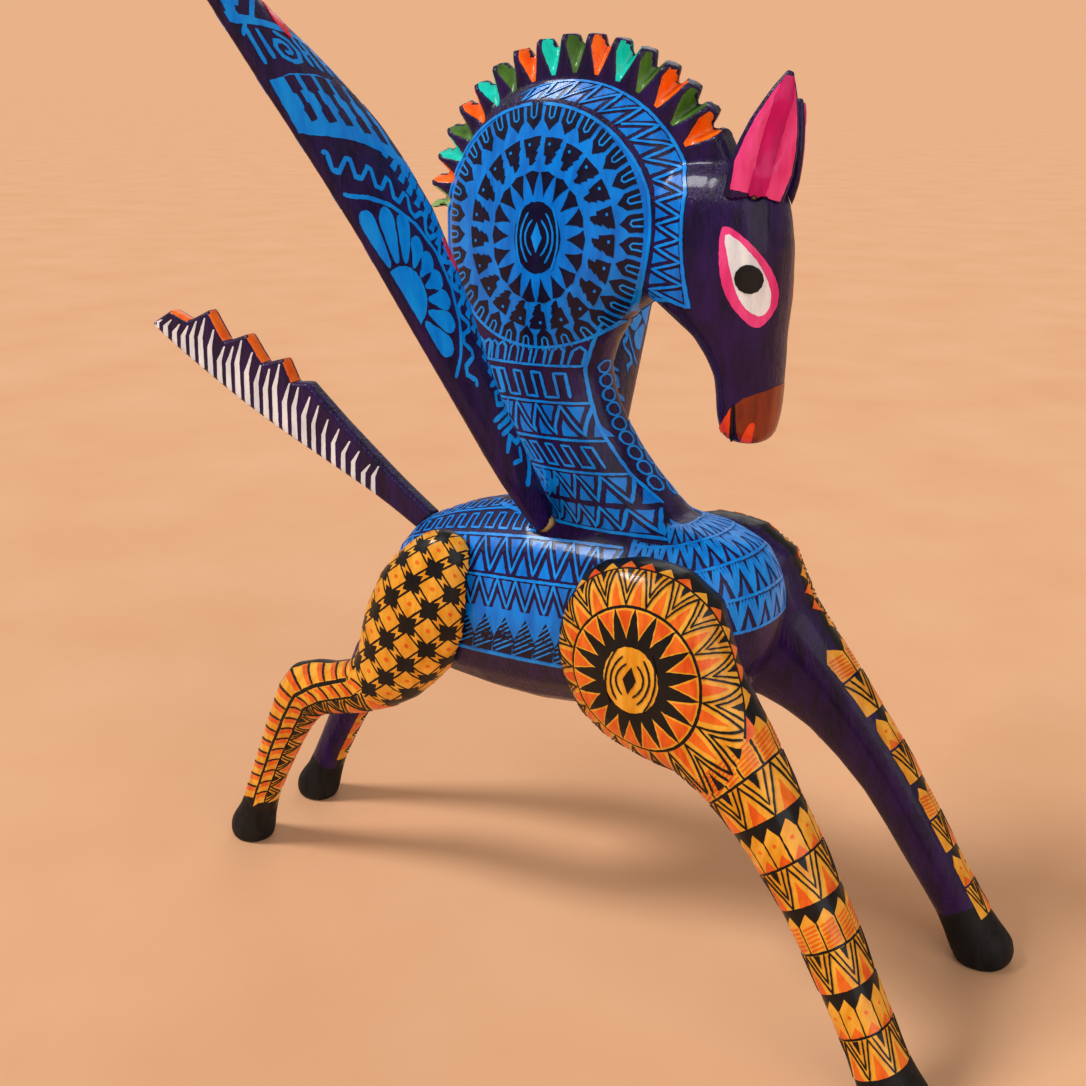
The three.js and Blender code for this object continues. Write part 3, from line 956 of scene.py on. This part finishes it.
def wing_axes(name):
    """The wing's root, the way it leans, the way across it toward its inner edge, and its front."""
    root, lean, chord = (Vector(v) for v in WINGS[name])
    lean.normalize()
    inward = (chord - lean * chord.dot(lean)).normalized()
    face = inward.cross(lean).normalized()
    if face.x < 0:
        face.negate()
    return root, lean, inward, face


def wing_chart(name, front=True):
    """(s, d) on a wing: s from its root, d inward from its outer edge, which d starts part way round."""
    root, lean, inward, face = wing_axes(name)
    if not front:
        face.negate()

    def chart(s, d):
        path = d + along(WING_LAP, s)
        turn = min(path / EDGE, math.pi / 2)
        out = face * math.sin(turn) - inward * math.cos(turn)
        flat = max(0.0, path - EDGE_ARC)
        centre = root + lean * s + inward * (along(WING_OUTER, s) + EDGE + flat)
        return place(centre) + out * 30 * MM, -out

    return chart


def thin_edge(name):
    """Thins a wing toward its outer edge."""
    root, lean, inward, face = wing_axes(name)

    def shape(spot):
        arm = spot - root
        in_from_edge = arm.dot(inward) - along(WING_OUTER, arm.dot(lean))
        keep = along([(0, 0.6), (12, 1)], in_from_edge)
        return spot + face * arm.dot(face) * (keep - 1)

    return shape


def wing(name):
    node = f"{name}_wing"
    piece = Carving(node, node, "blue_paint", [PURPLE], 0.9, 5, shape=thin_edge(name))
    blue, dark, red = films(piece, node, blue=(WING_BLUE, 1), dark=(PURPLE, 2), red=(RED, 2))
    front_pattern(blue, dark, red, wing_chart(name))
    back_pattern(blue, wing_chart(name, front=False))
    dry(blue, dark, red)


def width_at(s):
    return along(WING_WIDTH, s) - along(WING_LAP, s) + 0.4


def flower(blue, chart):
    """Half a flower that grows from the outer edge."""
    s0, d0 = 85, 1.2
    half_disc = [math.pi * i / 12 for i in range(13)]
    blue.patch(chart, [(s0 + 8.6 * math.cos(t), d0 + 8.4 * math.sin(t)) for t in half_disc])
    for i in range(9):
        t = math.radians(8 + i * 20)
        length = 24 - 4.6 * abs(math.sin(t)) + (3 if i < 3 else 0)
        wide = 2.9
        rs, rd = math.cos(t), math.sin(t)
        edge = [(9.8, 0.6), (13, 1.6), (length - 4, wide), (length - 1.3, wide * 0.75), (length, 0)]
        leaf = edge + [(r, -w) for r, w in edge[-2::-1]]
        petal = [(s0 + rs * r - rd * w, d0 + rd * r * 0.93 + rs * w) for r, w in leaf]
        blue.patch(chart, smooth_loop(petal, 2))


def wavy(blue, chart, spine, height, count, width):
    """A rounded meander along a curve."""
    starts = [0.0]
    for a, b in zip(spine, spine[1:]):
        starts.append(starts[-1] + math.dist(a, b))
    path = []
    for i in range(count * 2 + 1):
        t = i / (count * 2) * starts[-1]
        k = max(j for j in range(len(spine) - 1) if starts[j] <= t)
        a, b = Vector(spine[k]), Vector(spine[k + 1])
        spot = a.lerp(b, (t - starts[k]) / (starts[k + 1] - starts[k]))
        way = (b - a).normalized()
        out = Vector((-way.y, way.x)) * (height / 2 * (1 if i % 2 else -1))
        back = 1.2 if i % 2 else 0.9
        path += [tuple(spot + out - way * back), tuple(spot + out + way * back)]
    blue.stroke(chart, path, width)


FRET_BASE = [(137, 0.5), (131, 8), (122, 18), (111, 28), (97, 36)]
FRET_TOP = [(152, 0.5), (149, 9), (143, 18), (134, 27), (124, 36)]
ROW_TOP = [(169, 1), (164, 8), (157, 16), (149, 23), (140, 30)]


def curve(points):
    """A function of a share of the way along points."""
    last = len(points) - 1

    def at(share):
        k = min(int(share * last), last - 1)
        (x0, y0), (x1, y1) = points[k], points[k + 1]
        part = share * last - k
        return x0 + (x1 - x0) * part, y0 + (y1 - y0) * part

    return at


def front_pattern(blue, dark, red, chart):
    flower(blue, chart)
    arc = [(118, 2), (112, 9), (105, 15), (95, 20.5), (84, 22.5), (74, 20.5), (66, 15), (60, 8), (57, 2)]
    blue.stroke(chart, arc, 1.2)
    wave = [(128, 3), (118, 12), (109, 18.5), (98, 23.8), (85, 25.8), (73, 23.6), (64, 17.6), (58, 11),
            (51, 6)]
    wavy(blue, chart, wave, 3.8, 11, 1.4)
    fret_block(blue, dark, chart)
    spiral_row(blue, chart)
    tip_marks(blue, chart)
    margin_frets(blue, chart)
    root_marks(blue, chart)
    for s in (78, 160):
        edge = width_at(s)
        spot = [(s + 6, edge - 1), (s, edge - 3.4), (s - 6, edge - 1), (s, edge + 0.4)]
        red.patch(chart, smooth_loop(spot))


def fret_block(blue, dark, chart):
    """A blue block with a row of stepped purple frets."""
    size = (14, 34)
    strip = between(chart, curve(FRET_BASE), curve(FRET_TOP))
    blue.patch(strip, [(0.02, 0), (0.05, 0.98), (1, 1), (1, 0.03)], size, 0.1)
    for a, m, b in spread(0.16, 1, 6):
        c = (b - a) * 0.1
        fret = [(0.98, a + c), (0.98, b - c * 2), (0.76, b - c * 2), (0.74, m + c), (0.56, m + c),
                (0.55, b - c * 3), (0.3, b - c * 3), (0.26, a + c * 2), (0.44, a + c * 1.6),
                (0.5, a + c * 3), (0.7, a + c * 3), (0.74, a + c)]
        dark.patch(strip, fret, size)


def spiral_row(blue, chart):
    """Bars and a spiral under a thick line, above the fret block."""
    size = (12, 34)
    row = between(chart, curve(FRET_TOP), curve(ROW_TOP))
    blue.stroke(row, [(1, i / 4) for i in range(5)], 1.9, size, taper=1)
    bars = [(0.1, 0.25, 0.9), (0.2, 0.3, 0.85)] + [(share, 0.2, 0.9) for share in (0.52, 0.6, 0.7, 0.8, 0.9)]
    for share, low, high in bars:
        blue.stroke(row, [(low, share), (high, share + 0.02)], 1.3, size)
    for share in (0.56, 0.75, 0.85):
        blue.stroke(row, [(0.55, share - 0.03), (0.6, share + 0.04)], 1.1, size)
    spiral = []
    for k in range(14):
        shrink = 1 - k / 15
        spiral.append((0.5 + 0.36 * shrink * math.cos(k * 0.8), 0.36 + 0.13 * shrink * math.sin(k * 0.8)))
    blue.stroke(row, spiral, 1.2, size)


def tip_marks(blue, chart):
    for i in range(5):
        s = 190 - i * 5.4
        wide = width_at(s)
        blue.stroke(chart, [(s, wide * 0.2), (s - 4, wide * 0.5), (s, wide * 0.9)], 1.5)
        blue.stroke(chart, [(s - 5, wide * 0.15), (s - 3, wide * 0.4)], 1.3)
    blue.stroke(chart, [(179, 1), (174, 4.5), (168, 3)], 3.6, taper=1)


def margin_frets(blue, chart):
    """Stepped blue marks along the inner edge, from near the root to past the flower."""
    for i in range(17):
        s = 47 + i * 4.2
        wide = width_at(s)
        deep = min(9, 5 + i * 0.5)
        shape = [(s - 1.5, wide - 0.6), (s + 1.8, wide - 0.8), (s + 2.0, wide - deep * 0.5),
                 (s + 0.9, wide - deep * 0.55), (s + 1.2, wide - deep), (s - 1.2, wide - deep * 0.9),
                 (s - 0.8, wide - deep * 0.5), (s - 1.8, wide - deep * 0.45)]
        blue.patch(chart, shape)


def root_marks(blue, chart):
    """A spiral, bars, a bracket and an arc below the frets."""
    spiral = [(45, 12), (43, 17), (39, 17.5), (37, 13.5), (39.5, 10.5), (42, 12.6), (40.6, 15)]
    blue.stroke(chart, spiral, 1.5)
    for i in range(3):
        blue.stroke(chart, [(37.5 - i * 2.6, 5.5), (34.5 - i * 2.6, 15)], 1.5)
    blue.stroke(chart, [(27, 3.5), (29.5, 8), (26, 9), (25, 13), (22.5, 13)], 1.7)
    blue.stroke(chart, [(23, 3.4), (21, 7), (24, 9.5)], 1.4)
    blue.stroke(chart, [(13.5, 3), (16.5, 8.5), (20, 13)], 2.0)


def back_pattern(blue, chart):
    """Ticks near the outer edge and a row of strokes down the back."""
    for i in range(9):
        s = 30 + i * 17
        wide = width_at(s)
        blue.stroke(chart, [(s, 0.6), (s + 5, 1.6)], 1.2)
        blue.stroke(chart, [(s + 6, wide * 0.25), (s, wide * 0.5), (s + 6, wide * 0.8)], 1.5)
        blue.dot(chart, s + 8, wide * 0.5, 1.3)
    blue.stroke(chart, [(20, 5), (90, 17), (150, 12), (180, 6)], 1.1)


# ---- tail and ears ----

TAIL_BELOW = [(-179.5, 187.5), (-168, 180), (-142, 165.5), (-121.5, 155.5), (-102, 147), (-77, 136)]
TAIL_ABOVE = [(-179.5, 187.5), (-169.5, 193), (-161, 190), (-151, 194.5), (-144, 184), (-133.5, 187.5),
              (-126.5, 178), (-117.5, 180.5), (-113.5, 172.5), (-107, 173.2), (-93, 161.5), (-80, 151.5)]
TAIL_SLOPES = [(TAIL_ABOVE[i], TAIL_ABOVE[i + 1]) for i in (7, 5, 3, 1)]
TAIL_STRIPES = 24
TAIL_PITCH = 4.2


def tail_stripe(i):
    """A stroke that starts at the lower edge and thins out upward."""
    x = -176.5 + TAIL_PITCH * i
    low = along(TAIL_BELOW, x) + 0.8
    tip_x = x + 3.4 + hand.uniform(-0.5, 0.5)
    high = along(TAIL_ABOVE, tip_x) - 1.2 - hand.uniform(0, 1.6) - (1.6 if i > 15 else 0)
    high = min(high, low + 24)
    wide = 2.3 if i < 17 else 1.8
    bend = x + 0.4
    middle = low + (high - low) * 0.6
    return [(x - wide * 0.5, low + 0.3), (x + wide * 0.6, low - 0.3), (bend + wide * 0.5, middle),
            (tip_x + 0.2, high), (tip_x - 0.4, high), (bend - wide * 0.45, middle)]


def slope_chart(start, end):
    """(share, y) on the slope of a tooth of the tail, from its start to its end."""
    first = Vector((start[0], 0, start[1]))
    way = Vector((end[0] - start[0], 0, end[1] - start[1]))
    out = Vector((-way.z, 0, way.x)).normalized()
    if out.z < 0:
        out.negate()

    def chart(share, y):
        return place(first + Vector((0, y, 0)) + way * share) + out * 12 * MM, -out

    return chart


def tail():
    piece = Carving("tail", "tail", "striped_paint", [PURPLE], 0.6, 2)
    for side, name in SIDES.items():
        white = Film(f"tail_stripes_{name}", piece, WHITE, 1)
        for i in range(TAIL_STRIPES):
            white.patch(side_chart(side), tail_stripe(i), wobble=0.06)
        white.dry()
    orange = Film("tail_slopes", piece, MANE_ORANGE, 1)
    for start, end in TAIL_SLOPES:
        length = math.dist(start, end)
        slope = [(0.03, -2.6), (0.97, -2.6), (0.97, 2.6), (0.03, 2.6)]
        orange.patch(slope_chart(start, end), slope, (length, 1))
    orange.dry()


EARS = {
    "right": ((55.5, -8, 238), (64, -4.7, 274), (0.61, -0.79, 0.1)),
    "left": ((55.5, 8, 238), (63.5, 4.7, 267), (0.61, 0.79, 0.1)),
}
# rows of (share of the way to the tip, half width)
EAR_ROWS = [(0.12, 7.0), (0.32, 7.9), (0.5, 7.0), (0.62, 5.9), (0.75, 4.3), (0.86, 2.7), (0.96, 0.9)]
STRIPE_ROWS = [(0.09, 1.3), (0.13, 2.4), (0.4, 2.5), (0.6, 2.6), (0.8, 2.4), (0.9, 1.7), (0.96, 0.9)]


def ear(name):
    node = f"{name}_ear"
    piece = Carving(node, node, "pink_paint", [PURPLE], 0.45, 3)
    root, tip, face = (Vector(v) for v in EARS[name])
    face.normalize()
    across = face.cross((tip - root).normalized()).normalized()

    def chart(share, wide):
        return place(root.lerp(tip, share) + across * wide) + face * 20 * MM, -face

    length = (tip - root).length
    pink, stripe = films(piece, node, pink=(PINK, 1), stripe=(MAGENTA, 4))
    for film, rows in ((pink, EAR_ROWS), (stripe, STRIPE_ROWS)):
        outline = [(share, -wide) for share, wide in rows] + rows[::-1]
        film.patch(chart, outline, (length, 1), wobble=0.08, grid=0.9)
        film.dry()


# ---- light, floor and camera ----


FLOOR_HALF = 40.0  # metres
TARGET = Vector((0, 0, 0.15))  # the middle of the figure


def floor():
    mesh = bpy.data.meshes.new("floor")
    corners = [(-1, -1), (1, -1), (1, 1), (-1, 1)]
    mesh.from_pydata([(x * FLOOR_HALF, y * FLOOR_HALF, 0) for x, y in corners], [], [(0, 1, 2, 3)])
    obj = link("floor", mesh)
    material = bpy.data.materials.new("pale_floor")
    material.use_nodes = True
    tree = material.node_tree
    shader = tree.nodes["Principled BSDF"]
    color = ramp(tree, noise(tree, 9, detail=6.0), [(0.3, rgb("e2aa80")), (0.7, rgb("e8b38a"))])
    tree.links.new(color, shader.inputs["Base Color"])
    shader.inputs["Roughness"].default_value = 0.95
    shader.inputs["Specular IOR Level"].default_value = 0.1
    mesh.materials.append(material)


def lamp(name, spot, power, softness):
    """A sun lamp that shines on the figure, as soft as a light that many degrees across."""
    data = bpy.data.lights.new(name, "SUN")
    data.energy = power
    data.angle = math.radians(softness)
    obj = link(name, data)
    obj.location = spot
    obj.rotation_euler = (TARGET - Vector(spot)).to_track_quat("-Z", "Y").to_euler()


def backdrop():
    """An even light all round, seen by the camera as a wall in the colour of the floor."""
    world = bpy.data.worlds.new("studio")
    world.use_nodes = True
    tree = world.node_tree
    sky = tree.nodes["Background"]
    sky.inputs["Color"].default_value = (1.0, 0.9, 0.8, 1)
    sky.inputs["Strength"].default_value = 0.32
    wall = node_of(tree, "ShaderNodeBackground", Color=rgb("e9b289"), Strength=1.0)
    choice = tree.nodes.new("ShaderNodeMixShader")
    path = tree.nodes.new("ShaderNodeLightPath")
    tree.links.new(path.outputs["Is Camera Ray"], choice.inputs[0])
    tree.links.new(sky.outputs[0], choice.inputs[1])
    tree.links.new(wall.outputs[0], choice.inputs[2])
    tree.links.new(choice.outputs[0], tree.nodes["World Output"].inputs[0])
    bpy.context.scene.world = world


def studio():
    bpy.context.scene.view_settings.view_transform = "Standard"
    floor()
    lamp("key", (-0.7, -0.55, 1.15), 2.1, 16)
    lamp("fill", (1.0, -0.8, 0.7), 1.2, 60)
    lamp("back", (-0.4, 1.0, 0.9), 0.45, 40)
    backdrop()


CAMERA_TURN = 31.2  # degrees to the left of +Y
CAMERA_DIP = 18.1  # degrees below the horizon


def camera():
    data = bpy.data.cameras.new("camera")
    data.lens = 46.7
    data.sensor_width = 36
    data.clip_start = 0.01
    obj = link("camera", data)
    turn, dip = math.radians(CAMERA_TURN), math.radians(CAMERA_DIP)
    way = Vector((-math.sin(turn) * math.cos(dip), math.cos(turn) * math.cos(dip), -math.sin(dip)))
    obj.location = place(CAMERA_SPOT)
    obj.rotation_euler = way.to_track_quat("-Z", "Y").to_euler()
    bpy.context.scene.camera = obj


# ---- the whole figure ----

for side in SIDES:
    medallion(side)
    neck_bands(side)
    torso_bands(side)
    chest_bands(side)
    mane_paint(side)
    face_paint(side)
    front_leg(side)
    rear_leg(side)
muzzle_cap()
for name in SIDES.values():
    wing(name)
    ear(name)
tail()
for node_name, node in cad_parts.items():
    if node_name.endswith("_peg") or "_dowel_" in node_name:
        node.data.materials.clear()
        node.data.materials.append(WOOD)
studio()
camera()
